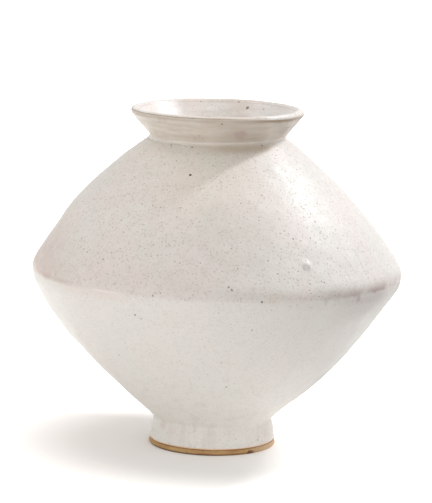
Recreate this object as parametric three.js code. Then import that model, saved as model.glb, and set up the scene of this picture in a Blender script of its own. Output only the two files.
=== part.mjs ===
import * as THREE from 'three';

// Tent-shaped stoneware vase: two thrown bowls luted rim to rim at the waist, on a thrown foot
// ring and under a thrown flaring neck, with one coat of glaze outside and another inside.
// Millimetres, Z up, the wheel's axis on Z and the foot standing on height zero.

// Outer form, measured over the glaze
const vaseHeight = 294;
const waistRadius = 160;
const waistHeight = 153;
const waistRound = 20.5;
const lowerWallRound = 412;
const upperWallRound = 362;
const neckRadius = 57.6;
const flareHeight = 24.8;
const neckRound = 3;
const rimRadius = 73.6;
const lipRound = 3.6;

// Foot, measured over the glaze
const footRadius = 55.5;
const footTopRadius = 50;
const footTopHeight = 23.8;
const footRound = 3;
const footWall = 8;
const footBevel = 1.2;

// Walls and coats
const wall = 6.5;
const glazeThickness = 0.8;
const seatGap = 0.3;
const bareBandHeight = 5;
const bareBandDepth = 0.4;
const floorThickness = 6.6;
const floorRound = 40;

// Luted joints: the waist joint's height over the widest ring, the slip and the tongue set in it
const waistJointRise = 3;
const slipThickness = 0.8;
const tongueDepth = 1.6;

// Faces round the vase, and along each bend of its line
const facetsRound = 36;
const wallSteps = 5;
const waistSteps = 2;
const hollowSteps = 2;
const flankSteps = 1;
const lipSteps = 3;
const floorSteps = 3;

// Depths under the outer line at which the clay starts and ends, and half a filled joint
const clayDepth = glazeThickness + seatGap;
const liningDepth = clayDepth + wall;
const halfLute = slipThickness / 2 + seatGap;

const glazeWhite = new THREE.MeshStandardMaterial({ color: 0xe6e2dc, roughness: 0.42, metalness: 0 });
const liningWhite = new THREE.MeshStandardMaterial({ color: 0xe3ddd6, roughness: 0.38, metalness: 0 });
const bodyClay = new THREE.MeshStandardMaterial({ color: 0xb08a5c, roughness: 0.85, metalness: 0 });
const slipClay = new THREE.MeshStandardMaterial({ color: 0x98714a, roughness: 0.9, metalness: 0 });

// Plane geometry of the half section: x is the radius, y the height, and an angle of zero points
// straight out from the axis
const quarterTurn = Math.PI / 2;
const pointAt = (radius, height) => new THREE.Vector2(radius, height);
const away = (angle) => pointAt(Math.cos(angle), Math.sin(angle));
const moved = (point, angle, length) => point.clone().addScaledVector(away(angle), length);
const headingFrom = (start, end) => Math.atan2(end.y - start.y, end.x - start.x);

// The third corner of a triangle, at its given distances from a and b, left of the way from a to b
function apex(a, b, fromA, fromB) {
  const length = a.distanceTo(b);
  const along = (fromA ** 2 - fromB ** 2 + length ** 2) / (2 * length);
  const aside = Math.sqrt(fromA ** 2 - along ** 2);
  const heading = headingFrom(a, b);
  return moved(moved(a, heading, along), heading + quarterTurn, aside);
}

// The point at a given distance from centre, on the straight line through start, nearest to start
function strike(centre, distance, start, heading) {
  const ahead = centre.clone().sub(start).dot(away(heading));
  const reach = Math.sqrt(ahead ** 2 - centre.distanceToSquared(start) + distance ** 2);
  return moved(start, heading, ahead > 0 ? ahead - reach : ahead + reach);
}

// A bend is a round stretch of the outer line between two angles of its outward normal. A
// negative round is a hollow bend, with its centre outside the vase. Every coat and wall follows
// the same bends at its own depth under the outer line, so they nest at an even spacing.
const bend = (centre, round, from, to, steps) => ({ centre, round, from, to, steps });
const bendPoint = ({ centre, round }, angle, depth) => moved(centre, angle, round - depth);

function follow(stretch, depth) {
  const { from, to, steps } = stretch;
  const count = Array.from({ length: steps + 1 }, (_, i) => i);
  return count.map((i) => bendPoint(stretch, from + ((to - from) * i) / steps, depth));
}

// Bends in a row, each starting where the last one ended
function line(bends, depth) {
  return bends.flatMap((stretch, i) => follow(stretch, depth).slice(i > 0 ? 1 : 0));
}

const backwards = (points) => points.slice().reverse();
const betweenEnds = (points) => points.slice(1, -1);

// The waist, and the two long wall arcs that leave it for the foot's and the neck's corners
const footBase = pointAt(footRadius, 0);
const footCorner = pointAt(footTopRadius, footTopHeight);
const neckCorner = pointAt(neckRadius, vaseHeight - flareHeight);
const waistCentre = pointAt(waistRadius - waistRound, waistHeight);
const lowerCentre = apex(footCorner, waistCentre, lowerWallRound, lowerWallRound - waistRound);
const upperCentre = apex(waistCentre, neckCorner, upperWallRound - waistRound, upperWallRound);
const waistLow = headingFrom(lowerCentre, waistCentre);
const waistHigh = headingFrom(upperCentre, waistCentre);
const waistJoint = Math.asin(waistJointRise / waistRound);

// The foot's straight flare, and the hollow where it meets the lower wall
const footHeading = headingFrom(footBase, footCorner);
const footFace = footHeading - quarterTurn;
const footHollowStart = moved(footCorner, footFace, footRound);
const footHollow = strike(lowerCentre, lowerWallRound + footRound, footHollowStart, footHeading);
const lowerEnd = headingFrom(lowerCentre, footHollow);

// The lip's round edge, the straight flare that runs into it, and the hollow at the neck's base
const lipCentre = pointAt(rimRadius - lipRound, vaseHeight - lipRound);
const flareSlant = Math.asin(lipRound / neckCorner.distanceTo(lipCentre));
const neckHeading = headingFrom(neckCorner, lipCentre) - flareSlant;
const neckFace = neckHeading - quarterTurn;
const neckHollowStart = moved(neckCorner, neckFace, neckRound);
const neckHollow = strike(upperCentre, upperWallRound + neckRound, neckHollowStart, neckHeading);
const upperEnd = headingFrom(upperCentre, neckHollow);
const lipEnd = neckFace + Math.PI;

// The bends from the foot to the lip, split at the widest ring and at the luted joints
const footFlank = bend(footHollow, -footRound, footFace, 0, flankSteps);
const footCove = bend(footHollow, -footRound, 0, lowerEnd, hollowSteps);
const lowerWall = bend(lowerCentre, lowerWallRound, lowerEnd, waistLow, wallSteps);
const waistUnder = bend(waistCentre, waistRound, waistLow, 0, waistSteps);
const waistFlank = bend(waistCentre, waistRound, 0, waistJoint, flankSteps);
const waistOver = bend(waistCentre, waistRound, waistJoint, waistHigh, waistSteps);
const upperWall = bend(upperCentre, upperWallRound, waistHigh, upperEnd, wallSteps);
const neckCove = bend(neckHollow, -neckRound, upperEnd, 0, hollowSteps);
const neckFlank = bend(neckHollow, -neckRound, 0, neckFace, hollowSteps);
const lipOutside = bend(lipCentre, lipRound, neckFace, quarterTurn, lipSteps);
const lipInside = bend(lipCentre, lipRound, quarterTurn, lipEnd, lipSteps - 1);

const waistBends = [waistUnder, waistFlank];
const shoulderBends = [waistOver, upperWall, neckCove];
const lipBends = [lipOutside, lipInside];

// Inside, a dished floor takes the place of the foot's cove. It leaves the lower wall early.
const dishHeight = footHollow.y + halfLute + floorThickness + floorRound;
const dishToWall = lowerWallRound - liningDepth - floorRound;
const dishAside = Math.sqrt(dishToWall ** 2 - (lowerCentre.y - dishHeight) ** 2);
const dishCentre = pointAt(lowerCentre.x + dishAside, dishHeight);
const dishEnd = headingFrom(lowerCentre, dishCentre);
const dish = bend(dishCentre, floorRound + liningDepth, -quarterTurn, dishEnd, floorSteps);
const innerWall = bend(lowerCentre, lowerWallRound, dishEnd, waistLow, wallSteps);
const bowlBends = [dish, innerWall, ...waistBends];

// From a bowl's bends at one depth back to the axis, where the floor is flat
const onAxis = (points) => points[0].clone().setX(0);

// A luted joint is cut square to the wall where a bend starts. The upper rim has a V tongue that
// drops into a groove in the lower rim. The line runs inwards, lifted off the joint's middle.
function luteLine(stretch, lift) {
  const middle = (clayDepth + liningDepth) / 2;
  const up = stretch.from + quarterTurn;
  const place = (depth, drop) => moved(bendPoint(stretch, stretch.from, depth), up, lift - drop);
  return [
    place(clayDepth, 0),
    place(middle - tongueDepth, 0),
    place(middle, tongueDepth),
    place(middle + tongueDepth, 0),
    place(liningDepth, 0),
  ];
}

// The slip that fills a luted joint
function slipSection(stretch) {
  return [...backwards(luteLine(stretch, -slipThickness / 2)), ...luteLine(stretch, slipThickness / 2)];
}

// The foot ring's top is luted flat to the bowl's underside. Both lie on one line, cut at the flare.
function footJoint(lift) {
  const outer = bendPoint(footCove, footCove.from, clayDepth);
  const height = outer.y + lift;
  return [pointAt(outer.x, height), pointAt(outer.x - footWall, height)];
}

// A point under the foot's straight flare, at a depth from it and a height over the floor
function flarePoint(depth, height) {
  const base = moved(footBase, footFace, -depth);
  return moved(base, footHeading, (height - base.y) / Math.sin(footHeading));
}

// The bare band at the foot's bottom stands out from under the glaze, which stops above it
function footRingSection() {
  const innerDepth = clayDepth + footWall;
  const ledgeHeight = bareBandHeight - seatGap;
  return [
    flarePoint(innerDepth, footBevel),
    flarePoint(innerDepth - footBevel, 0),
    flarePoint(bareBandDepth + footBevel, 0),
    flarePoint(bareBandDepth, footBevel),
    flarePoint(bareBandDepth, ledgeHeight),
    flarePoint(clayDepth, ledgeHeight),
    ...footJoint(-halfLute),
  ];
}

function footSlipSection() {
  return [...backwards(footJoint(-slipThickness / 2)), ...footJoint(slipThickness / 2)];
}

function lowerBowlSection() {
  const inside = line(bowlBends, liningDepth);
  const [jointOuter] = footJoint(halfLute);
  return [
    jointOuter.clone().setX(0),
    jointOuter,
    ...betweenEnds(line([footCove, lowerWall, ...waistBends], clayDepth)),
    ...luteLine(waistOver, -halfLute),
    ...backwards(inside.slice(0, -1)),
    onAxis(inside),
  ];
}

function shoulderSection() {
  return [
    ...backwards(luteLine(waistOver, halfLute)),
    ...betweenEnds(line(shoulderBends, clayDepth)),
    ...luteLine(neckFlank, -halfLute),
    ...backwards(betweenEnds(line(shoulderBends, liningDepth))),
  ];
}

function neckSection() {
  return [
    ...backwards(luteLine(neckFlank, halfLute)),
    ...follow(neckFlank, clayDepth).slice(1),
    ...line(lipBends, clayDepth),
    ...backwards(follow(neckFlank, liningDepth).slice(1)),
  ];
}

// The outer coat runs from the bare band up the outside and over the lip
function outerGlazeSection() {
  const bends = [footFlank, footCove, lowerWall, ...waistBends, ...shoulderBends, neckFlank];
  const skin = (depth) => [
    flarePoint(depth, bareBandHeight),
    ...line(bends, depth),
    ...line(lipBends, depth),
  ];
  return [...skin(0), ...backwards(skin(glazeThickness))];
}

// The inner coat runs from the middle of the floor up to the lip, where the outer coat ends
function liningSection() {
  const bends = [...bowlBends, ...shoulderBends, neckFlank];
  const skin = (fromClay) => {
    const points = line(bends, liningDepth + fromClay);
    const lipSide = bendPoint(lipInside, lipEnd, clayDepth - fromClay);
    return [onAxis(points), ...points, moved(lipSide, neckHeading, -seatGap)];
  };
  return [...skin(seatGap), ...backwards(skin(seatGap + glazeThickness))];
}

// Turns a half section about the wheel's axis. One that keeps off the axis is closed to a ring.
function thrown(name, section, material) {
  const keepsOff = section.every((point) => point.x > 0);
  const profile = keepsOff ? [...section, section[0].clone()] : section;
  const geometry = new THREE.LatheGeometry(profile, facetsRound);
  geometry.rotateX(quarterTurn);
  const mesh = new THREE.Mesh(geometry, material);
  mesh.name = name;
  return mesh;
}

const vase = new THREE.Group();
vase.add(
  thrown('foot_ring', footRingSection(), bodyClay),
  thrown('foot_slip_seam', footSlipSection(), slipClay),
  thrown('lower_bowl', lowerBowlSection(), bodyClay),
  thrown('waist_slip_seam', slipSection(waistOver), slipClay),
  thrown('upper_shoulder', shoulderSection(), bodyClay),
  thrown('neck_slip_seam', slipSection(neckFlank), slipClay),
  thrown('flared_neck', neckSection(), bodyClay),
  thrown('outer_glaze', outerGlazeSection(), glazeWhite),
  thrown('liner_glaze', liningSection(), liningWhite),
);

export default vase;
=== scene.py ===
import cmath
import math

import bpy
import numpy as np
from mathutils import Matrix, Vector


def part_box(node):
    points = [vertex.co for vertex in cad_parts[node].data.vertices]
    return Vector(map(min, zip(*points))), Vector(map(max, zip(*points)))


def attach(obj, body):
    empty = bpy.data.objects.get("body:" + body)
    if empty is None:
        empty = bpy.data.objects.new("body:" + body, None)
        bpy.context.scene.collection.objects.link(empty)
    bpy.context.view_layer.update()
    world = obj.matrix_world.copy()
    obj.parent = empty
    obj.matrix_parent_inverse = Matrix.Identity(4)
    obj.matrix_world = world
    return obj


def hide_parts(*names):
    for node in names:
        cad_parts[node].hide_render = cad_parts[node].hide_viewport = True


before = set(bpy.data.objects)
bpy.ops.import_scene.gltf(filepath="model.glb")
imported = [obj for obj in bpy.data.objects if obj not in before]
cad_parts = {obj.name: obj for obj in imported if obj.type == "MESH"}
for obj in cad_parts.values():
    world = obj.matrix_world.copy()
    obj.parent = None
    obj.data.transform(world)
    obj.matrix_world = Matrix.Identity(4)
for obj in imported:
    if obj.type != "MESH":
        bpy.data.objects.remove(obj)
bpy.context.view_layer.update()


# Lower bowl: the first of two thrown stoneware bowls, with a dished floor, a rim cut square and
# grooved for the joint, and an underside turned flat on the wheel. The glaze hides all of it but
# the round of bare clay inside the foot ring.

# A half section is an array of complex numbers, radius + height * 1j, in metres. A bend is a round
# stretch of the vase's outer line: its centre, its radius, which is negative where the line is
# hollow, and the angles of its outward normal at its two ends.
waist_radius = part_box("outer_glaze")[1].x
waist_height = 0.153
waist_round = 0.0205
lower_wall_round = 0.412
foot_base = 0.0555 + 0j
foot_corner = 0.050 + 0.0238j
foot_cove_round = 0.003
glaze_thickness = 0.0008
bond_gap = 0.0003
wall = 0.0065
slip_thickness = 0.0008
joint_rise = 0.003
tongue_depth = 0.0016
floor_thickness = 0.0066
floor_round = 0.040
clay_depth = glaze_thickness + bond_gap
lining_depth = clay_depth + wall
half_joint = slip_thickness / 2 + bond_gap
quarter_turn = math.pi / 2


def towards(angle):
    """The unit step at an angle: cosine of it outwards and sine of it upwards."""
    return cmath.exp(1j * angle)


def apex(a, b, from_a, from_b):
    """The triangle corner that is from_a off a and from_b off b, left of the way from a to b."""
    length = abs(b - a)
    along = (from_a**2 - from_b**2 + length**2) / (2 * length)
    return a + (along + 1j * math.sqrt(from_a**2 - along**2)) * (b - a) / length


def strike(centre, distance, start, heading):
    """The point at a distance from centre on the straight line through start, nearest to start."""
    ahead = ((centre - start) * towards(-heading)).real
    reach = math.sqrt(ahead**2 - abs(centre - start) ** 2 + distance**2)
    return start + towards(heading) * (ahead - reach if ahead > 0 else ahead + reach)


def follow(bends, depth, spacing):
    """Points along a row of bends at a depth under the outer line, and the normal angle of each:
    the point is the bend's centre plus (radius - depth) times the unit step at the angle."""
    points, angles = [], []
    for centre, radius, start, end in bends:
        steps = 1 + math.ceil(abs(radius * (end - start)) / spacing)
        angle = np.linspace(start, end, steps + 1)[bool(points):]
        points.append(centre + (radius - depth) * np.exp(1j * angle))
        angles.append(angle)
    return np.concatenate(points), np.concatenate(angles)


def straight(start, end, spacing):
    """Evenly spaced points on the line from start to end, without the end."""
    steps = math.ceil(abs(end - start) / spacing)
    return start + (end - start) * np.arange(steps) / steps


def bump(value, middle, spread):
    """A soft swell of 1 at the middle, which fades to nothing about two spreads away."""
    return np.exp(-(((value - middle) / spread) ** 2))


def waver(x, y, z, length, seed, waves=18):
    """Smooth unevenness between about -1 and 1: the mean of cosines of a few plane waves in chance
    directions, whose wavelengths lie about the given length."""
    chance = np.random.default_rng(seed)
    total = 0
    for _ in range(waves):
        step = chance.normal(size=3)
        step *= 2 * math.pi / (length * chance.uniform(0.75, 1.5) * np.linalg.norm(step))
        total = total + np.cos(step[0] * x + step[1] * y + step[2] * z + chance.uniform(0, 7))
    return total * math.sqrt(2 / waves)


# What the potter's hands left: at each height, how far the wall leans to the right of the waist's
# middle, in metres, and by what share its radius is wider than a true turn.
hand_height = np.array([4, 20, 34, 50, 75, 110, 153, 185, 215, 243, 265, 294]) / 1000
hand_spread = np.array([8, 8, 9, 11, 15, 18, 18, 18, 18, 18, 18, 18]) / 1000
hand_lean = np.array([-1.35, -1.49, -1.23, 0.1, -0.01, -1.49, 0.03, -0.63, -2.74, -2.79, -1.54, -2.82])
hand_lean = hand_lean / 1000
hand_share = np.array([0.3, 22.0, -26.6, -13.9, -2.4, 2.1, -2.0, -5.0, 2.5, -5.6, -2.9, 12.5]) / 1000


def by_hand(x, y, z):
    """Moves every layer alike: each table is blended over height as a mean with weights that fade
    away from its heights, and the radius is uneven all round by a few tenths of a millimetre."""
    weight = bump(np.asarray(z)[..., None], hand_height, hand_spread)
    weight /= weight.sum(axis=-1, keepdims=True)
    stretch = 1 + weight @ hand_share + 0.0006 * waver(x, y, z, 0.15, seed=3)
    return x * stretch + weight @ hand_lean, y * stretch, z


def all_round(columns):
    """Even turn angles, in radians, once round."""
    return np.arange(columns) * 2 * math.pi / columns


sharp_edge = math.radians(50)


def thrown(name, section, shift=0, turn=all_round(180), facing=None):
    """Turns a half section about the wheel's axis, on a grid of section points by turn angles: x is
    the radius times the cosine of the turn, y the radius times its sine, z the height. shift, a
    complex number for each grid point, moves it first. A section that starts and ends on the axis
    gets a single point at each pole; any other is closed to a ring. facing, an angle for each
    section point, is kept as the points' attribute."""
    has_poles = abs(section[0].real) < bond_gap
    rings = (section[1:-1] if has_poles else section)[:, None] + 0 * turn + shift
    x, y, z = by_hand(rings.real * np.cos(turn), rings.real * np.sin(turn), rings.imag)
    points = np.stack([x, y, z], axis=-1).reshape(-1, 3)
    here = np.arange(rings.size).reshape(rings.shape)
    right = np.roll(here, -1, axis=1)
    above, above_right = (np.roll(part, -1, axis=0) for part in (here, right))
    quads = np.stack([here, right, above_right, above], axis=-1)
    faces = quads[: -1 if has_poles else None].reshape(-1, 4).tolist()
    if has_poles:
        poles = np.array([by_hand(0, 0, section[end].imag) for end in (0, -1)])
        points = np.concatenate([points, poles])
        low, high = np.full(len(turn), rings.size), np.full(len(turn), rings.size + 1)
        faces += np.stack([low, right[0], here[0]], axis=-1).tolist()
        faces += np.stack([here[-1], right[-1], high], axis=-1).tolist()
    mesh = bpy.data.meshes.new(name)
    mesh.from_pydata(points.tolist(), [], faces)
    mesh.shade_smooth()
    mesh.set_sharp_from_angle(angle=sharp_edge)
    if facing is not None:
        kept = mesh.attributes.new("facing", "FLOAT", "POINT")
        kept.data.foreach_set("value", np.repeat(facing, len(turn)))
    piece = bpy.data.objects.new(name, mesh)
    bpy.context.scene.collection.objects.link(piece)
    return piece


class Tone:
    """A number, colour or direction that varies over a surface: one output of a shader node. Sums,
    differences and products of tones and numbers add the Math nodes for them."""

    def __init__(self, tree, socket=None):
        self.tree = tree
        self.socket = socket

    def node(self, kind, settings=None, inputs=None, output=0):
        """Adds a node of a kind, sets its settings, then each input's value or link."""
        made = self.tree.nodes.new(kind)
        for name, value in (settings or {}).items():
            setattr(made, name, value)
        for name, value in (inputs or {}).items():
            if isinstance(value, Tone):
                self.tree.links.new(value.socket, made.inputs[name])
            else:
                made.inputs[name].default_value = value
        return Tone(self.tree, made.outputs[output])

    def math(self, operation, first, second):
        return self.node("ShaderNodeMath", {"operation": operation}, {0: first, 1: second})

    def __add__(self, other):
        return self.math("ADD", self, other)

    def __sub__(self, other):
        return self.math("SUBTRACT", self, other)

    def __rsub__(self, other):
        return self.math("SUBTRACT", other, self)

    def __mul__(self, other):
        return self.math("MULTIPLY", self, other)

    __radd__ = __add__
    __rmul__ = __mul__

    def rise(self, low, high):
        """0 below low and 1 above high, with a smooth step between. Falls if low is above high."""
        inputs = {"Value": self, "From Min": low, "From Max": high}
        return self.node("ShaderNodeMapRange", {"interpolation_type": "SMOOTHSTEP"}, inputs)

    def band(self, middle, spread):
        """1 at the middle and 0 past one spread on either side."""
        return self.math("ABSOLUTE", self - middle, 0).rise(spread, 0)

    def mixed(self, first, second):
        """The first colour where this tone is 0 and the second where it is 1."""
        return self.node("ShaderNodeMix", {"data_type": "RGBA"}, {0: self, 6: first, 7: second}, 2)

    def clouds(self, place, size, detail=2.0, seed=0.0):
        """Soft patches of about the given size, as a tone about 0.5."""
        inputs = {"Vector": place, "Scale": 1 / size, "Detail": detail, "W": seed}
        return self.node("ShaderNodeTexNoise", {"noise_dimensions": "4D"}, inputs)

    def scaled(self, factors, offset=(0, 0, 0)):
        """This place with its three coordinates multiplied by factors and moved by an offset."""
        inputs = {0: self, 1: factors, 2: offset}
        return self.node("ShaderNodeVectorMath", {"operation": "MULTIPLY_ADD"}, inputs)

    def warped(self, size, reach):
        """This place moved aside by up to about the reach, in swirls of the given size."""
        inputs = {"Vector": self, "Scale": 1 / size, "Detail": 3.0}
        swirl = self.node("ShaderNodeTexNoise", {}, inputs, "Color")
        return swirl.scaled([2 * reach] * 3, self.scaled((1, 1, 1), [-reach] * 3))

    def flecks(self, place, spacing, size, share, seed=0):
        """Round flecks: the points of a scattered grid that lie within size of the surface. Each
        point is kept by chance for a share of them."""
        inputs = {"Vector": place.scaled([1 / spacing] * 3, [seed] * 3), "Scale": 1, "Randomness": 1}
        distance = self.node("ShaderNodeTexVoronoi", {}, inputs, "Distance")
        chance = self.node("ShaderNodeTexVoronoi", {}, inputs, "Color").scaled((1, 1, 1))
        kept = self.node("ShaderNodeSeparateXYZ", {}, {0: chance}).rise(share, share * 0.9)
        return distance.rise(size / spacing, size / spacing / 2) * kept

    def spot(self, place, centre, size):
        """1 near a centre point and 0 past the size from it."""
        inputs = {0: place, 1: centre}
        distance = self.node("ShaderNodeVectorMath", {"operation": "DISTANCE"}, inputs, "Value")
        return distance.rise(size, size / 2)


def shown(red, green, blue):
    """A colour as a screen shows it, from 0 to 255, as the linear colour that a shader reads."""
    levels = np.array([red, green, blue]) / 255
    linear = np.where(levels > 0.04045, ((levels + 0.055) / 1.055) ** 2.4, levels / 12.92)
    return (*linear.tolist(), 1.0)


def finish_of(name, paint, **gloss):
    """A material whose paint function gives its colour, roughness and bump height in metres from
    object coordinates. gloss holds the shader values that are the same all over."""
    material = bpy.data.materials.new(name)
    material.use_nodes = True
    tree = material.node_tree
    shader = tree.nodes["Principled BSDF"]
    tone = Tone(tree)
    place = tone.node("ShaderNodeTexCoord", output="Object")
    colour, roughness, height = paint(tone, place)
    normal = tone.node("ShaderNodeBump", {}, {"Strength": 1.0, "Distance": 1.0, "Height": height})
    for name, value in {"Base Color": colour, "Roughness": roughness, "Normal": normal}.items():
        tree.links.new(value.socket, shader.inputs[name])
    for name, value in gloss.items():
        shader.inputs[name.replace("_", " ").title().replace("Ior", "IOR")].default_value = value
    return material


def bare_stoneware(tone, place):
    """Tan clay, toasted darker in patches, with pale grit and dark grains in a matt skin. Painted
    shade darkens the foot's bottom edge and a line under the glaze's edge; painted light makes
    the foot's right a lighter orange, past one dark red-brown mark."""
    x, z = (tone.node("ShaderNodeSeparateXYZ", {}, {0: place}, output=axis) for axis in "XZ")
    toasted = tone.clouds(place, 0.020, detail=3.0).rise(0.35, 0.7)
    grain = tone.clouds(place, 0.0011, detail=3.0, seed=4.0)
    lines = tone.clouds(place.scaled((0.1, 0.1, 1)), 0.0012, detail=2.0, seed=5.0)
    grit = tone.flecks(place, 0.0035, 0.0006, 0.5, seed=1)
    dark = tone.flecks(place, 0.0060, 0.0007, 0.4, seed=2)
    colour = toasted.mixed(shown(188, 151, 100), shown(162, 121, 76))
    # painted light: the foot's right side, where the light falls on it, is a lighter orange
    painted_light_foot = x.rise(0.028, 0.042) * z.rise(0.006, 0.005)
    colour = (0.8 * painted_light_foot).mixed(colour, shown(214, 184, 152))
    colour = (grain.rise(0.35, 0.75) * 0.35).mixed(colour, shown(140, 100, 62))
    colour = (lines.rise(0.45, 0.75) * 0.35).mixed(colour, shown(226, 192, 138))
    level = place.scaled((1, 1, 0))
    out = tone.node("ShaderNodeVectorMath", {"operation": "LENGTH"}, {0: level}, "Value")
    # painted contact shadow: the foot's bottom outer edge darkened where it meets the floor
    painted_contact_shadow = z.rise(0.0020, 0.0008) * out.rise(0.0532, 0.0544)
    colour = (0.8 * painted_contact_shadow).mixed(colour, shown(84, 52, 32))
    # painted shade: a dark line along the top of the band, under the glaze's edge
    colour = (0.6 * z.band(0.0050, 0.0008)).mixed(colour, shown(112, 74, 44))
    colour = (grit * 0.5).mixed(colour, shown(222, 198, 158))
    colour = (dark * 0.8).mixed(colour, shown(72, 46, 32))
    mark_place = place.warped(0.004, 0.002).scaled((1, 1, 1.7))
    red_mark = tone.spot(mark_place, (0.0318, -0.0432, 0.0012), 0.0050)
    colour = (red_mark * 0.8).mixed(colour, shown(84, 38, 28))
    return colour, 0.78 + 0.12 * grain, 0.00012 * grain + 0.00006 * grit


def placed(piece, material, node):
    """Gives a finished piece its material and its place on the vase's one body, and hides the
    CAD node that it stands for.
    """
    piece.data.materials.append(material)
    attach(piece, "root")
    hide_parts(node)


waist_centre = complex(waist_radius - waist_round, waist_height)
lower_centre = apex(foot_corner, waist_centre, lower_wall_round, lower_wall_round - waist_round)
waist_low = cmath.phase(waist_centre - lower_centre)
waist_joint = math.asin(joint_rise / waist_round)
foot_heading = cmath.phase(foot_corner - foot_base)
foot_face = foot_heading - quarter_turn
foot_cove_centre = strike(
    lower_centre,
    lower_wall_round + foot_cove_round,
    foot_corner + foot_cove_round * towards(foot_face),
    foot_heading,
)
lower_end = cmath.phase(foot_cove_centre - lower_centre)
foot_flank = (foot_cove_centre, -foot_cove_round, foot_face, 0)
foot_cove = (foot_cove_centre, -foot_cove_round, 0, lower_end)
lower_wall = (lower_centre, lower_wall_round, lower_end, waist_low)
waist_under = (waist_centre, waist_round, waist_low, 0)
waist_flank = (waist_centre, waist_round, 0, waist_joint)

dish_height = foot_cove_centre.imag + half_joint + floor_thickness + floor_round
dish_to_wall = lower_wall_round - lining_depth - floor_round
dish_aside = math.sqrt(dish_to_wall**2 - (lower_centre.imag - dish_height) ** 2)
dish_centre = complex(lower_centre.real + dish_aside, dish_height)
dish_end = cmath.phase(dish_centre - lower_centre)
dish = (dish_centre, floor_round + lining_depth, -quarter_turn, dish_end)
inner_wall = (lower_centre, lower_wall_round, dish_end, waist_low)
bowl_bends = [dish, inner_wall, waist_under, waist_flank]


def joint_line(bend, lift):
    """A luted joint's face, square to the wall at the start of a bend, from outside to inside. The
    upper rim's V tongue drops into the lower rim's groove. lift is the way off the joint's middle."""
    centre, radius, start, _ = bend
    middle = (clay_depth + lining_depth) / 2
    depth = np.array([clay_depth, middle - tongue_depth, middle, middle + tongue_depth, lining_depth])
    drop = np.array([0, 0, tongue_depth, 0, 0])
    return centre + (radius - depth) * towards(start) + (lift - drop) * towards(start + quarter_turn)


foot_joint_outer = foot_cove_centre - foot_cove_round - clay_depth
waist_seat = (waist_centre, waist_round, waist_joint, quarter_turn)
wall_spacing = 0.004
turning_spacing = 0.0005
turning_pitch = 0.0026
turning_depth = 0.00022
turning_reach = 0.05

base_height = 1j * (foot_joint_outer.imag + half_joint)
base = straight(base_height, foot_joint_outer.real + base_height, turning_spacing)
outside, _ = follow([foot_cove, lower_wall, waist_under, waist_flank], clay_depth, wall_spacing)
inside, _ = follow(bowl_bends, lining_depth, wall_spacing)
bowl_section = np.concatenate(
    [
        base,
        [foot_joint_outer.real + base_height],
        outside[1:-1],
        joint_line(waist_seat, -half_joint),
        inside[-2::-1],
        [1j * inside[0].imag],
    ]
)
turned = np.abs(np.sin(np.pi * base.real[1:] / turning_pitch))
turned = turned * bump(base.real[1:], 0, turning_reach)
bowl_shift = np.zeros((len(bowl_section) - 2, 1), complex)
bowl_shift[: len(turned), 0] = 1j * turning_depth * turned
clay = finish_of("bare_stoneware", bare_stoneware)
lower_bowl = thrown("lower_bowl_clay", bowl_section, bowl_shift, all_round(240))
placed(lower_bowl, clay, "lower_bowl")


# Foot ring: a short thrown ring that flares down to where the vase stands, luted under the bowl and
# turned with a bevel on each side. The glaze was wiped off its last few millimetres, so the clay
# shows there as a tan band.
foot_wall = 0.008
foot_bevel = 0.0012
band_height = 0.005
band_depth = 0.0004
turned_edge = 0.0004


def flare_point(depth, height):
    """The point at a height above the floor and a depth under the foot's straight flare."""
    base = foot_base - depth * towards(foot_face)
    return base + (height - base.imag) / math.sin(foot_heading) * towards(foot_heading)


def eased(corners, radius, steps=5):
    """A closed outline with each corner rounded by a curve that leaves one side and joins the other
    at the radius from the corner: the sum of start (1-t)^2, corner 2t(1-t) and end t^2."""
    t = np.linspace(0, 1, steps)
    before, after = np.roll(corners, 1) - corners, np.roll(corners, -1) - corners
    start = (corners + radius * before / np.abs(before))[:, None]
    end = (corners + radius * after / np.abs(after))[:, None]
    return ((1 - t) ** 2 * start + 2 * t * (1 - t) * corners[:, None] + t**2 * end).ravel()


foot_inner = clay_depth + foot_wall
foot_top = complex(0, foot_joint_outer.imag - half_joint)
foot_corners = np.array(
    [
        flare_point(foot_inner, foot_bevel),
        flare_point(foot_inner - foot_bevel, 0),
        flare_point(band_depth + foot_bevel, 0),
        flare_point(band_depth, foot_bevel),
        flare_point(band_depth, band_height - bond_gap),
        flare_point(clay_depth, band_height - bond_gap),
        foot_joint_outer.real + foot_top,
        foot_joint_outer.real - foot_wall + foot_top,
    ]
)
foot_ring = thrown("foot_ring_clay", eased(foot_corners, turned_edge), turn=all_round(360))
placed(foot_ring, clay, "foot_ring")


# Slip in the foot's joint: the brown slurry that was brushed between the ring and the bowl and
# fired hard with them. It lies flat between the two.
def fired_slip(tone, place):
    """Brown slip with darker wet marks and a fine grain."""
    marks = tone.clouds(place, 0.012, detail=3.0, seed=7.0)
    grain = tone.clouds(place, 0.0008, detail=2.0, seed=8.0)
    colour = marks.rise(0.3, 0.7).mixed(shown(166, 124, 84), shown(122, 88, 58))
    return (grain * 0.3).mixed(colour, shown(96, 66, 44)), 0.82 + 0.1 * grain, 0.0001 * grain


slip = finish_of("fired_slip", fired_slip)
slip_edge = 0.00015
half_slip = 0.5j * slip_thickness
foot_slip_corners = foot_joint_outer + np.array(
    [-foot_wall - half_slip, -half_slip, half_slip, -foot_wall + half_slip]
)
foot_slip = thrown("foot_joint_slip", eased(foot_slip_corners, slip_edge))
placed(foot_slip, slip, "foot_slip_seam")


# Slip in the waist's joint, between the groove of the lower rim and the tongue of the upper one.
# It follows the V of both.
def joint_slip(name, bend):
    """The slip between the two faces of a joint, as one ring."""
    low, high = joint_line(bend, -slip_thickness / 2), joint_line(bend, slip_thickness / 2)
    return thrown(name, eased(np.concatenate([low[::-1], high]), slip_edge))


waist_slip = joint_slip("waist_joint_slip", waist_seat)
placed(waist_slip, slip, "waist_slip_seam")


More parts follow.
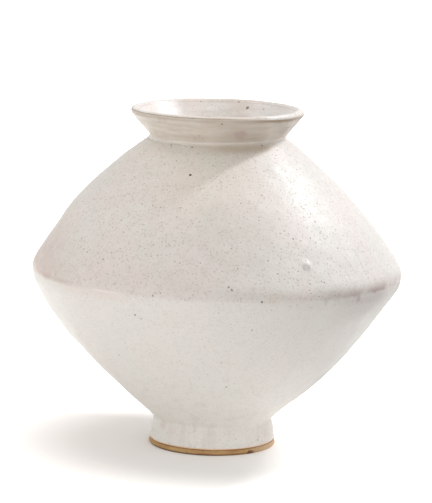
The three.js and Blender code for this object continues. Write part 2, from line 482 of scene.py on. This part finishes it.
# Upper shoulder: the second bowl, turned over and luted rim to rim on the first. It rises in one
# long shallow curve to the neck, where its base was cut open.
upper_wall_round = 0.362
flare_height = 0.0248
neck_radius = 0.0576
neck_corner = complex(neck_radius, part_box("outer_glaze")[1].z - flare_height)
neck_round = 0.003
lip_radius = 0.0736
lip_round = 0.0036
lip_centre = complex(lip_radius - lip_round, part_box("outer_glaze")[1].z - lip_round)
upper_centre = apex(waist_centre, neck_corner, upper_wall_round - waist_round, upper_wall_round)
waist_high = cmath.phase(waist_centre - upper_centre)
flare_slant = math.asin(lip_round / abs(lip_centre - neck_corner))
neck_heading = cmath.phase(lip_centre - neck_corner) - flare_slant
neck_face = neck_heading - quarter_turn
neck_centre = strike(
    upper_centre,
    upper_wall_round + neck_round,
    neck_corner + neck_round * towards(neck_face),
    neck_heading,
)
upper_end = cmath.phase(neck_centre - upper_centre)
waist_over = (waist_centre, waist_round, waist_joint, waist_high)
upper_wall = (upper_centre, upper_wall_round, waist_high, upper_end)
neck_cove = (neck_centre, -neck_round, upper_end, 0)
neck_flank = (neck_centre, -neck_round, 0, neck_face)
shoulder_bends = [waist_over, upper_wall, neck_cove]

outside, _ = follow(shoulder_bends, clay_depth, wall_spacing)
inside, _ = follow(shoulder_bends, lining_depth, wall_spacing)
shoulder_section = np.concatenate(
    [
        joint_line(waist_over, half_joint)[::-1],
        outside[1:-1],
        joint_line(neck_flank, -half_joint),
        inside[-2:0:-1],
    ]
)
upper_shoulder = thrown("upper_shoulder_clay", shoulder_section)
placed(upper_shoulder, clay, "upper_shoulder")


# Slip in the neck's joint, with the same tongue and groove as the waist.
neck_slip = joint_slip("neck_joint_slip", neck_flank)
placed(neck_slip, slip, "neck_slip_seam")


# Flared neck: a thrown collar that opens straight outwards from the joint to a round lip as thick
# as the wall.
neck_spacing = 0.001
flare_spacing = 0.003
lip_spacing = 0.0008
lip_end = neck_face + math.pi
lip_outside = (lip_centre, lip_round, neck_face, quarter_turn)
lip_inside = (lip_centre, lip_round, quarter_turn, lip_end)
outside, _ = follow([neck_flank], clay_depth, neck_spacing)
inside, _ = follow([neck_flank], lining_depth, neck_spacing)
lip, _ = follow([lip_outside, lip_inside], clay_depth, lip_spacing)
neck_section = np.concatenate(
    [
        joint_line(neck_flank, half_joint)[::-1],
        outside[1:-1],
        straight(outside[-1], lip[0], flare_spacing),
        lip,
        inside[:0:-1],
    ]
)
flared_neck = thrown("flared_neck_clay", neck_section)
placed(flared_neck, clay, "flared_neck")


# Outer glaze: a satin white coat nearly a millimetre thick, poured over the whole outside and over
# the lip, and wiped off above the foot's band. It is uneven, pitted with pinholes, and thins to
# pinkish brown where the wall turns at the waist, the neck and the lip; painted shade deepens that
# brown on the waist's right and under the lip.
skin_rows = 186
backing_rows = 30
skin_columns = 456
fine = 0.0002
waist_seam = 0.1531
waist_seam_slope = -0.0093
neck_bead = 0.2697
neck_bead_slope = 0.015
outer_bends = [foot_flank, foot_cove, lower_wall, waist_under, waist_flank]
outer_bends += [waist_over, upper_wall, neck_cove, neck_flank]
blister_turn, blister_height = math.radians(300.5), 0.1790
blister_size, blister_swell = 0.0035, 0.0027
lip_blister_turn, lip_blister_height = math.radians(232.6), 0.2899
crease_turn, crease_height = math.radians(324.4), 0.178
ring_pitch, ring_swell = 0.0042, 0.00009
turn_samples = 3601


def spread_out(position, weight, count):
    """count places along position, with the same sum of weight between each and the next."""
    total = np.concatenate([[0], np.cumsum((weight[1:] + weight[:-1]) * np.diff(position) / 2)])
    return np.interp(np.linspace(0, total[-1], count), total, position)


def coat_line(depth, rows):
    """The outer coat's line at a depth, from the bare band up to the inner side of the lip, and its
    outward normal's angle. The rows gather at the glaze's edge, the joints, the blister and lip."""
    body, body_angle = follow(outer_bends, depth, fine)
    lip, lip_angle = follow([lip_outside, lip_inside], depth, fine)
    foot = straight(flare_point(depth, band_height), body[0], fine)
    flare = straight(body[-1], lip[0], fine)
    points = np.concatenate([foot, body[:-1], flare, lip])
    foot_angle, flare_angle = np.full(len(foot), foot_face), np.full(len(flare), neck_face)
    angles = np.concatenate([foot_angle, body_angle[:-1], flare_angle, lip_angle])
    way = np.concatenate([[0], np.cumsum(np.abs(np.diff(points)))])
    detail = 0.28
    for height, spread, more in (
        (0.0055, 0.0016, 1.8),
        (0.014, 0.010, 0.4),
        (0.0245, 0.003, 0.8),
        (0.153, 0.012, 0.35),
        (waist_seam, 0.0032, 1.6),
        (blister_height, 0.004, 0.9),
        (neck_corner.imag, 0.0035, 1.3),
        (0.291, 0.010, 0.85),
    ):
        detail = detail + more * bump(points.imag, height, spread)
    places = spread_out(way, detail, rows)
    return np.interp(places, way, points), np.interp(places, way, angles)


skin, skin_angle = coat_line(0, skin_rows)
backing, backing_angle = coat_line(glaze_thickness, backing_rows)
angle_steps = np.linspace(0, 2 * math.pi, turn_samples)
crowd = 1 + 0.4 * bump(angle_steps, 1.5 * math.pi, 1.3)
crowd += 2.2 * bump(angle_steps, blister_turn, 0.035)
crowd += 1.6 * bump(angle_steps, lip_blister_turn - 0.04, 0.08)
crowd += 1.4 * bump(angle_steps, crease_turn, 0.030)
skin_turn = spread_out(angle_steps, crowd, skin_columns + 1)[:-1]
skin_x = skin.real[:, None] * np.cos(skin_turn)
skin_y = skin.real[:, None] * np.sin(skin_turn)
skin_z = skin.imag[:, None] + 0 * skin_turn
seam_height = waist_seam + waist_seam_slope * skin_x + 0.0004 * waver(skin_x, skin_y, 0, 0.03, 5)


def on_skin(turn, height):
    """The point on the outer coat at a turn and height, with what the potter's hands left."""
    radius = np.interp(height, skin.imag, skin.real)
    return np.array(by_hand(radius * math.cos(turn), radius * math.sin(turn), height))


def mound(turn, height, size, way_up=1.0):
    """A round swelling on the skin: a bump of the distance from its middle, in skin coordinates."""
    centre = np.interp(height, skin.imag, skin.real) * np.exp(1j * turn)
    aside = np.hypot(skin_x - centre.real, skin_y - centre.imag)
    return way_up * bump(np.hypot(aside, skin_z - height), 0, size)


# the coat's unevenness, coarse and fine, and its thinning over the lip
relief = 0.00013 * waver(skin_x, skin_y, skin_z, 0.034, seed=11)
relief += 0.00005 * waver(skin_x, skin_y, skin_z, 0.013, seed=12)
relief -= 0.0003 * bump(skin_angle[:, None], quarter_turn, 0.9)
# a low ridge over the waist's seam and a hollow line under it
relief += 0.00014 * bump(skin_z, seam_height + 0.0018, 0.0018)
relief -= 0.00012 * bump(skin_z, seam_height - 0.0004, 0.0010)
# the throwing rings of the neck's flare, and the bead and groove at its base
rings_way = skin_z / ring_pitch + 0.35 * waver(skin_x, skin_y, 0, 0.06, 6)
relief += ring_swell * np.sin(2 * math.pi * rings_way) * bump(skin_z, 0.280, 0.007)
bead_height = neck_bead + neck_bead_slope * skin_x + 0.0003 * waver(skin_x, skin_y, 0, 0.04, 7)
bead_swell = 0.00042 + 0.00014 * waver(skin_x, skin_y, 0, 0.05, 8)
relief += bead_swell * bump(skin_z, bead_height, 0.0009)
relief -= 0.00016 * bump(skin_z, bead_height - 0.0022, 0.0010)
# the thick roll of glaze that stopped at the bare band, with a rounded edge
roll_swell = 0.00030 + 0.00012 * waver(skin_x, skin_y, 0, 0.03, 9)
relief += roll_swell * bump(skin_z, 0.0068, 0.0014)
relief -= 0.00045 * np.exp((band_height - skin_z) / 0.0004)
# blisters: the big one on the right shoulder, slumped to its lower left, and those under the lip
relief += mound(blister_turn, blister_height, blister_size, blister_swell)
relief -= mound(blister_turn - 0.015, blister_height - 0.0014, 0.0018, 0.0019)
relief += mound(lip_blister_turn, lip_blister_height, 0.0013, 0.0010)
relief += mound(lip_blister_turn - 0.075, lip_blister_height - 0.0010, 0.0016, 0.0006)
relief += mound(lip_blister_turn - 0.115, lip_blister_height - 0.0026, 0.0011, 0.0005)

# a crease that wanders down the right shoulder
crease_way = crease_turn + 0.005 * np.sin(skin_z / 0.0035)
crease_aside = (skin_turn - crease_way) * skin.real[:, None]
crease = bump(crease_aside, 0.0006, 0.0014) - bump(crease_aside, -0.0022, 0.0018)
relief += 0.00030 * crease * bump(skin_z, crease_height, 0.015)

# the glaze's edge at the bare band runs a little up and down
edge_run = 0.00035 * (1 + waver(skin_x, skin_y, 0, 0.028, 10)).clip(0)
glaze_shift = np.zeros((skin_rows + backing_rows, skin_columns), complex)
glaze_shift[:skin_rows] = np.exp(1j * skin_angle)[:, None] * relief
glaze_shift[:skin_rows] += 1j * edge_run * bump(skin_z, band_height, 0.0014)


def glaze_ground(tone, place):
    """The white glaze away from any edge: patches of warmer and greyer white, a fine mottling, and
    pinholes of several sizes with a few iron specks."""
    patches = tone.clouds(place.scaled((1, 1, 0.4)), 0.036, detail=2.0, seed=1.0).rise(0.40, 0.60)
    mottle = tone.clouds(place, 0.008, detail=5.0, seed=2.0)
    dusting = tone.clouds(place, 0.0017, detail=2.0, seed=11.0).rise(0.48, 0.74)
    pits = tone.flecks(place, 0.0036, 0.00078, 0.9, seed=3)
    rims = tone.flecks(place, 0.0080, 0.0020, 0.7, seed=4)
    craters = tone.flecks(place, 0.0080, 0.0010, 0.7, seed=4)
    iron = tone.flecks(place, 0.034, 0.0011, 0.6, seed=5)
    colour = patches.mixed(shown(228, 226, 219), shown(231, 224, 218))
    colour = (mottle.rise(0.25, 0.8) * 0.45).mixed(colour, shown(218, 211, 203))
    colour = (dusting * 0.42).mixed(colour, shown(178, 168, 158))
    colour = (pits * 0.48).mixed(colour, shown(150, 138, 126))
    colour = (rims * 0.3).mixed(colour, shown(240, 236, 230))
    colour = (craters * 0.62).mixed(colour, shown(118, 104, 92))
    colour = (iron * 0.9).mixed(colour, shown(62, 48, 38))
    height = 0.00012 * mottle - 0.00006 * dusting - 0.00014 * pits - 0.0002 * craters
    return colour, 0.36 + 0.14 * mottle, height


# Iron specks and marks that the vase has singly: turn in degrees, height and size in millimetres,
# and how dark.
marks = (
    (255.5, 246.5, 1.5, 1.0),
    (283.4, 153.4, 1.3, 0.7),
    (273.6, 165.0, 1.1, 0.6),
    (274.5, 163.0, 1.2, 0.6),
    (244.5, 137.3, 1.1, 0.7),
    (299.0, 199.5, 1.1, 0.6),
    (275.5, 70.8, 1.2, 0.5),
    (230.1, 94.7, 1.0, 0.5),
    (282.0, 128.1, 1.0, 0.5),
    (273.1, 95.8, 1.0, 0.4),
    (246.4, 134.3, 1.0, 0.4),
    (273.1, 288.4, 1.1, 0.6),
    (230.0, 266.5, 1.3, 0.6),
    (249.5, 266.4, 1.2, 0.7),
    (308.9, 267.7, 1.2, 0.6),
    (252.1, 274.4, 0.8, 0.4),
    (255.9, 276.4, 0.9, 0.3),
    (258.5, 274.2, 0.8, 0.4),
    (251.0, 156.5, 1.0, 0.25),
    (251.9, 158.3, 1.0, 0.25),
    (252.8, 159.7, 0.9, 0.2),
    (259.6, 154.8, 1.0, 0.25),
    (260.8, 154.1, 1.0, 0.25),
    (262.0, 155.5, 1.0, 0.2),
    (263.1, 158.6, 1.0, 0.2),
    (263.4, 161.5, 0.9, 0.2),
    (318.2, 10.6, 1.4, 0.3),
)


def white_glaze(tone, place):
    """The outer glaze: the ground, pinker above the waist's seam, broken to pinkish brown over the
    seam, to beige on the neck's face and to grey brown along the lip, and thin at its edge on the
    foot. Painted shade greys the lower bowl's right side and darkens the seam's right and far left
    and parts of the neck; painted highlights lie on the seam's left and the neck's bead, and painted
    light on the lip's right."""
    colour, roughness, height = glaze_ground(tone, place)
    facing = tone.node("ShaderNodeAttribute", {"attribute_name": "facing"}, output="Fac")
    x, y, z = (tone.node("ShaderNodeSeparateXYZ", {}, {0: place}, output=axis) for axis in "XYZ")
    ragged = tone.clouds(place, 0.010, detail=4.0, seed=6.0) - 0.5
    runs = tone.clouds(place.scaled((1, 1, 0.12)), 0.007, detail=3.0, seed=7.0)
    rings = tone.clouds(place.scaled((0.12, 0.12, 1)), 0.0035, detail=3.0, seed=8.0)

    # Below the seam the glaze is whiter, and above it pinker. over is the height over the seam,
    # whose line is ragged and more so on the right.
    right = x.rise(0.050, 0.115)
    lumps = tone.clouds(place.scaled((1, 1, 0.6)), 0.019, detail=2.0, seed=12.0)
    over = z - waist_seam_slope * x - waist_seam + (0.0026 + 0.0026 * right) * ragged
    over = over + 0.0050 * right * (lumps - 0.5)
    above = over.rise(-0.0014, 0.0018)
    colour = (0.5 * (1 - above)).mixed(colour, shown(232, 227, 220))
    blush = above * over.rise(0.060, 0.0) * (0.20 + 0.3 * ragged) * (1 - 0.5 * x.rise(0.015, 0.060))
    colour = blush.mixed(colour, shown(212, 192, 184))
    # on the right the seam broke to pinkish brown, darkened further by painted shade, with drips, and
    # to peach nearer the front
    seam_place = place.warped(0.012, 0.008)
    blotches = tone.spot(seam_place, on_skin(math.radians(312), 0.1545), 0.030)
    blotches = blotches + tone.spot(seam_place, on_skin(math.radians(328), 0.1530), 0.020)
    break_and_shade = over.rise(-0.002, 0.002) * over.rise(0.010, 0.001) * x.rise(0.060, 0.125)
    break_and_shade = break_and_shade * (0.42 + 0.22 * blotches + 1.2 * ragged)
    colour = break_and_shade.mixed(colour, shown(156, 130, 126))
    dripped = runs.rise(0.56, 0.66) * over.rise(-0.009, -0.001) * (1 - above) * right
    colour = (0.5 * dripped).mixed(colour, shown(176, 150, 142))
    peach = over.band(0.003, 0.006) * x.rise(0.036, 0.048) * x.rise(0.082, 0.060)
    colour = (peach * (0.20 + 1.4 * ragged)).mixed(colour, shown(218, 190, 168))
    # on the left it is thin in one place, has a painted highlight on the seam's ridge in another and
    # is pale between
    thin = over.band(0.0016, 0.0034) * x.rise(-0.110, -0.134) * x.rise(-0.156, -0.148)
    colour = (thin * (0.34 + ragged)).mixed(colour, shown(176, 154, 142))
    painted_seam_highlight = over.band(0.0008, 0.0014) * x.rise(-0.104, -0.098) * x.rise(-0.077, -0.086)
    colour = (0.6 * painted_seam_highlight).mixed(colour, shown(252, 240, 230))
    glow = over.band(-0.0030, 0.0060) * x.rise(-0.066, -0.085) * x.rise(-0.140, -0.120)
    colour = (glow * (0.30 + ragged)).mixed(colour, shown(232, 214, 204))
    # painted shade: the waist's far left is browner and darker along its edge, and the lower bowl's
    # right side greyer, darkest along its edge and just under the waist
    painted_left_shade = x.rise(-0.112, -0.150) * above
    colour = (painted_left_shade * (0.4 + ragged)).mixed(colour, shown(206, 186, 174))
    painted_edge_shade = x.rise(0.050, 0.100) * (1 - above) * y.band(0.0, 0.090)
    colour = (0.65 * painted_edge_shade).mixed(colour, shown(150, 147, 140))
    under = x.rise(0.085, 0.140) * (1 - above) * z.rise(0.120, 0.140)
    colour = (0.5 * under).mixed(colour, shown(176, 168, 162))

    # warmer glaze on the shoulder's front, a greyer patch a little right of the front, and runs near
    # the foot
    warm = x.band(-0.012, 0.075) * z.rise(0.185, 0.250) * above
    colour = (0.32 * warm).mixed(colour, shown(220, 206, 184))
    grey_patch = tone.spot(place, on_skin(math.radians(278.0), 0.2050), 0.045)
    colour = (0.20 * grey_patch).mixed(colour, shown(196, 191, 182))
    colour = (0.28 * runs.rise(0.48, 0.75) * z.rise(0.11, 0.03)).mixed(colour, shown(198, 191, 188))

    # The neck's face is beige up to the lip. Right under the lip the glaze is toasted brown, deepened
    # by painted shade; painted shade also dulls the face low on its front and darkens its right side,
    # and a painted shadow darkens the shoulder round the neck's front. On the right the lip is kept
    # white further down, a painted light, and it has a brown line on the left. A painted highlight
    # runs along the bead round the neck's base and painted shade along the groove under it, and
    # one pinkish blot is on its face.
    # painted light: on the right the lip's roll stays white further down, where the light falls on it
    painted_light_lip = x.rise(0.020, 0.052)
    face = (facing + 0.42 * painted_light_lip).rise(0.55, 0.35) * (z + 0.002 * ragged).rise(0.2640, 0.2675)
    beige = rings.rise(0.36, 0.66).mixed(shown(229, 222, 210), shown(209, 199, 186))
    tints = tone.clouds(place.scaled((1, 1, 0.3)), 0.011, detail=2.0, seed=14.0).rise(0.40, 0.62)
    beige = (0.35 * tints).mixed(beige, shown(216, 196, 184))
    colour = (0.9 * face).mixed(colour, beige)
    # browned glaze under the lip with painted shade under the lip's roll, most on the right
    shaded_under_lip = (z + 0.0012 * ragged + 0.0014 * x.rise(0.040, 0.060)).band(0.2902, 0.0026)
    toasted = face * shaded_under_lip * (0.48 + 0.65 * x.rise(0.022, 0.045))
    colour = toasted.mixed(colour, shown(168, 148, 126))
    # painted shade: the neck's face low on its front and the shoulder just under it
    painted_neck_shade = x.rise(-0.032, 0.012) * x.rise(0.044, 0.032) * z.rise(0.2590, 0.2660)
    colour = ((0.26 + 0.15 * z.rise(0.284, 0.274)) * painted_neck_shade).mixed(colour, shown(186, 172, 155))
    # painted shade down the neck's right side under the lip
    shade_side = face * x.rise(0.042, 0.058) * z.rise(0.270, 0.281)
    colour = (shade_side * (0.42 + ragged)).mixed(colour, shown(132, 114, 96))
    high = z.rise(0.284, 0.286)
    lip_line = high * facing.band(0.58 + 0.2 * ragged, 0.18) * x.rise(0.050, -0.02)
    colour = (0.85 * lip_line).mixed(colour, shown(136, 110, 84))
    # painted highlight along the bead at the neck's base and painted shade in the groove under it
    beading = z - neck_bead_slope * x - neck_bead
    painted_bead_highlight = beading.band(0.0002, 0.0010) * (0.45 + 1.4 * ragged)
    colour = painted_bead_highlight.mixed(colour, shown(240, 232, 226))
    painted_groove_shade = beading.band(-0.0020, 0.0014) * (0.40 + 1.4 * ragged)
    colour = (0.5 * painted_groove_shade).mixed(colour, shown(176, 160, 142))
    # painted shadow of the neck on the shoulder round its front
    painted_collar_shadow = z.band(0.2655, 0.0045) * x.rise(-0.015, 0.015) * x.rise(0.048, 0.040)
    colour = (0.45 * painted_collar_shadow).mixed(colour, shown(190, 174, 150))
    blot_place = place.warped(0.006, 0.004)
    blot = tone.spot(blot_place, on_skin(math.radians(287.0), 0.2782), 0.0064)
    colour = (0.35 * blot).mixed(colour, shown(186, 150, 146))

    # the foot has a thin edge of glaze over toasted clay, and pink patches
    edge = z.rise(0.0068, 0.0054)
    colour = (0.85 * edge).mixed(colour, shown(228, 184, 138))
    foot_place = place.warped(0.008, 0.006)
    for turn, lift, size, much in ((330, 15, 5, 0.25), (214, 21, 7, 0.25), (229, 19, 6, 0.15)):
        patch = tone.spot(foot_place, on_skin(math.radians(turn), lift / 1000), size / 1000)
        colour = (much * patch).mixed(colour, shown(212, 180, 162))

    # the single specks and marks
    dark = 0
    for turn, lift, size, much in marks:
        centre = on_skin(math.radians(turn), lift / 1000)
        dark = much * tone.spot(place, centre, size / 1000) + dark
    colour = dark.mixed(colour, shown(44, 34, 28))
    height = height + 0.00005 * rings * face
    return colour, roughness - 0.10 * facing.band(1.4, 0.9) * high, height


glaze = finish_of("white_glaze", white_glaze, specular_ior_level=0.25)
outer_glaze = thrown(
    "outer_glaze_coat",
    np.concatenate([skin, backing[::-1]]),
    glaze_shift,
    skin_turn,
    np.concatenate([skin_angle, backing_angle[::-1]]),
)
placed(outer_glaze, glaze, "outer_glaze")


# Inner glaze: the same white glaze poured round the inside, from the dished floor up the walls and
# the neck to the lip. The lines of the potter's fingers show through it.
inner_bends = bowl_bends + shoulder_bends + [neck_flank]
behind_spacing = 0.008
face_spacing = 0.0025
finger_pitch, finger_swell = 0.0075, 0.00009


def lining_line(from_clay, spacing):
    """The inner coat's line from the middle of the floor up to the lip, which is its inner face
    where from_clay is the coat's thickness past the bond."""
    body, _ = follow(inner_bends, lining_depth + from_clay, spacing)
    brim = lip_centre + (lip_round - clay_depth + from_clay) * towards(lip_end)
    floor = straight(1j * body[0].imag, body[0], spacing)
    flare = straight(body[-1], brim, spacing / 2)
    return np.concatenate([floor, body[:-1], flare, [brim]])


behind = lining_line(bond_gap, behind_spacing)
face = lining_line(bond_gap + glaze_thickness, face_spacing)
inner_turn = all_round(360)
inner_x = face.real[:, None] * np.cos(inner_turn)
inner_y = face.real[:, None] * np.sin(inner_turn)
inner_z = face.imag[:, None] + 0 * inner_turn
finger_way = 2 * math.pi * inner_z / finger_pitch + 0.8 * waver(inner_x, inner_y, 0, 0.05, 13)
inner_relief = finger_swell * np.sin(finger_way) + 0.00008 * waver(inner_x, inner_y, inner_z, 0.02, 14)
inner_relief *= 1 - np.exp((inner_z - face[-1].imag) / 0.003)
inner_shift = np.zeros((len(behind) + len(face) - 2, len(inner_turn)), complex)
inner_shift[len(behind) - 1 :] = -(inner_relief[::-1])[:-1]


def inner_white(tone, place):
    """The inner glaze: the ground, faintly ringed, whiter on the right by painted light and duller on
    the left by painted shade, with a few brown specks near the far rim."""
    colour, roughness, height = glaze_ground(tone, place)
    rings = tone.clouds(place.scaled((0.12, 0.12, 1)), 0.003, detail=3.0, seed=9.0)
    x, z = (tone.node("ShaderNodeSeparateXYZ", {}, {0: place}, output=axis) for axis in "XZ")
    zones = tone.clouds(place.scaled((1, 1, 0.1)), 0.030, detail=2.0, seed=13.0).rise(0.42, 0.58)
    # painted light makes the inside's right whiter and painted shade makes its left duller
    painted_light_inside = x.rise(0.016, 0.034)
    colour = (0.6 * zones * (1 - painted_light_inside)).mixed(colour, shown(222, 211, 203))
    colour = (0.6 * painted_light_inside).mixed(colour, shown(240, 238, 234))
    painted_shade_inside = x.rise(-0.052, -0.042) * x.rise(-0.024, -0.034)
    colour = (0.45 * painted_shade_inside).mixed(colour, shown(200, 190, 184))
    colour = (0.35 * rings.rise(0.4, 0.7)).mixed(colour, shown(206, 194, 184))
    colour = (0.4 * z.band(0.2914, 0.0009)).mixed(colour, shown(204, 182, 172))
    dark = 0
    for centre, size, much in (
        ((0.0237, 0.0572, 0.2875), 0.0019, 0.8),
        ((0.0234, 0.0570, 0.2858), 0.0014, 0.6),
        ((0.0160, 0.0642, 0.2916), 0.0012, 0.5),
        ((0.0376, 0.0487, 0.2876), 0.0013, 0.4),
        ((-0.0174, 0.0649, 0.2912), 0.0012, 0.4),
    ):
        dark = much * tone.spot(place, centre, size) + dark
    colour = dark.mixed(colour, shown(92, 66, 46))
    return colour, roughness - 0.08, height + 0.00004 * rings


inner_glaze = finish_of("inner_white_glaze", inner_white, specular_ior_level=0.5)
section = np.concatenate([behind, face[::-1]])
liner_glaze = thrown("inner_glaze_coat", section, inner_shift, inner_turn)
placed(liner_glaze, inner_glaze, "liner_glaze")


# Camera: a long lens a little above the vase, turned slightly about its own axis.
lens_mm = 206.86
sensor_mm = 36
camera_distance = 2.5
camera_elevation = math.radians(9.435)
camera_roll = math.radians(1.26)
camera_aim = Vector((-0.00124, 0, 0.16845))
back = Vector((0, -math.cos(camera_elevation), math.sin(camera_elevation)))
up = Vector((0, math.sin(camera_elevation), math.cos(camera_elevation)))
right = Vector((1, 0, 0))
across = right * math.cos(camera_roll) + up * math.sin(camera_roll)
upright = up * math.cos(camera_roll) - right * math.sin(camera_roll)
camera = bpy.data.objects.new("camera", bpy.data.cameras.new("camera"))
camera.data.lens = lens_mm
camera.data.sensor_width = sensor_mm
camera.data.clip_end = 100
camera.matrix_world = Matrix.Translation(camera_aim + back * camera_distance) @ Matrix(
    (across, upright, back)
).transposed().to_4x4()
bpy.context.scene.collection.objects.link(camera)
bpy.context.scene.camera = camera


# Studio: a white floor that keeps the vase's shadow, a white surround, and three lamps: a narrow key
# behind on the right, a broad low one in front and a warm high one on the left. The light that the
# floor throws back is set apart for the part near the vase, its right side and the far part.
floor_half = 6.0
floor_mesh = bpy.data.meshes.new("floor")
floor_mesh.from_pydata(
    [(x * floor_half, y * floor_half, 0) for x, y in ((-1, -1), (1, -1), (1, 1), (-1, 1))],
    [],
    [(0, 1, 2, 3)],
)
floor = bpy.data.objects.new("floor", floor_mesh)
bpy.context.scene.collection.objects.link(floor)


def seen_directly(tone):
    """1 for rays that show a surface to the eye: straight, by reflection or through glass."""
    kinds = ("Camera", "Glossy", "Transmission")
    rays = [tone.node("ShaderNodeLightPath", output=f"Is {kind} Ray") for kind in kinds]
    return rays[0] + rays[1] + rays[2]


floor_material = bpy.data.materials.new("white_floor")
floor_material.use_nodes = True
floor_tree = floor_material.node_tree
floor_tree.nodes.clear()
tone = Tone(floor_tree)
seen = seen_directly(tone)
place = tone.node("ShaderNodeTexCoord", output="Object")
away = tone.node("ShaderNodeVectorMath", {"operation": "LENGTH"}, {0: place}, "Value")
near = away.rise(0.32, 0.10)
side = tone.node("ShaderNodeSeparateXYZ", {}, {0: place}, "X")
back_near = 0.19 + 0.22 * side.rise(-0.06, 0.12)
back_far = 0.84 - 0.58 * side.rise(0.02, 0.12)
thrown_back = near * back_near + (1 - near) * back_far
seen_glow = 0.18 + 1.1 * away.rise(0.10, 0.30) + 0.2 * side.rise(0.0, 0.1)
glow = (1 - seen) * thrown_back + seen * seen_glow
pale = seen.mixed(near.mixed(shown(90, 90, 90), shown(228, 227, 226)), shown(226, 223, 219))
matt = tone.node("ShaderNodeBsdfDiffuse", {}, {"Color": pale})
lift = tone.node("ShaderNodeEmission", {}, {"Color": (1, 1, 1, 1), "Strength": glow})
lifted = tone.node("ShaderNodeAddShader", {}, {0: matt, 1: lift})
below = tone.node("ShaderNodeNewGeometry", output="Backfacing")
clear = tone.node("ShaderNodeBsdfTransparent")
surface = tone.node("ShaderNodeMixShader", {}, {0: below, 1: lifted, 2: clear})
floor_end = floor_tree.nodes.new("ShaderNodeOutputMaterial")
floor_tree.links.new(surface.socket, floor_end.inputs["Surface"])
floor_mesh.materials.append(floor_material)

surround_light = 0.65
world = bpy.data.worlds.new("surround")
world.use_nodes = True
bpy.context.scene.world = world
world_tree = world.node_tree
world_tree.nodes.clear()
tone = Tone(world_tree)
strength = surround_light + (1 - surround_light) * seen_directly(tone)
surround = tone.node("ShaderNodeBackground", {}, {"Color": (1, 1, 1, 1), "Strength": strength})
world_end = world_tree.nodes.new("ShaderNodeOutputWorld")
world_tree.links.new(surround.socket, world_end.inputs["Surface"])


lamp_distance = 2.0


def softbox(name, bearing, elevation, watts, width, height, colour=(1, 1, 1)):
    """A flat lamp that faces the vase's middle, from a bearing in degrees, which is 0 in front
    and 90 to the right, and an elevation above the floor."""
    a, e = math.radians(bearing), math.radians(elevation)
    away = Vector((math.sin(a) * math.cos(e), -math.cos(a) * math.cos(e), math.sin(e)))
    lamp = bpy.data.lights.new(name, "AREA")
    lamp.shape = "RECTANGLE"
    lamp.size, lamp.size_y = width, height
    lamp.energy = watts
    lamp.color = colour
    holder = bpy.data.objects.new(name, lamp)
    holder.location = Vector((0, 0, waist_height)) + away * lamp_distance
    holder.rotation_mode = "QUATERNION"
    holder.rotation_quaternion = (-away).to_track_quat("-Z", "Y")
    bpy.context.scene.collection.objects.link(holder)


softbox("right_key", 118, 46, 26.0, 0.14, 0.36, (0.94, 0.95, 1.0))
softbox("front_low", -15, 8, 5.4, 0.9, 0.9)
softbox("left_high", -105, 62, 5.0, 0.9, 0.9, (1.0, 0.82, 0.74))
bpy.context.scene.view_settings.view_transform = "Standard"
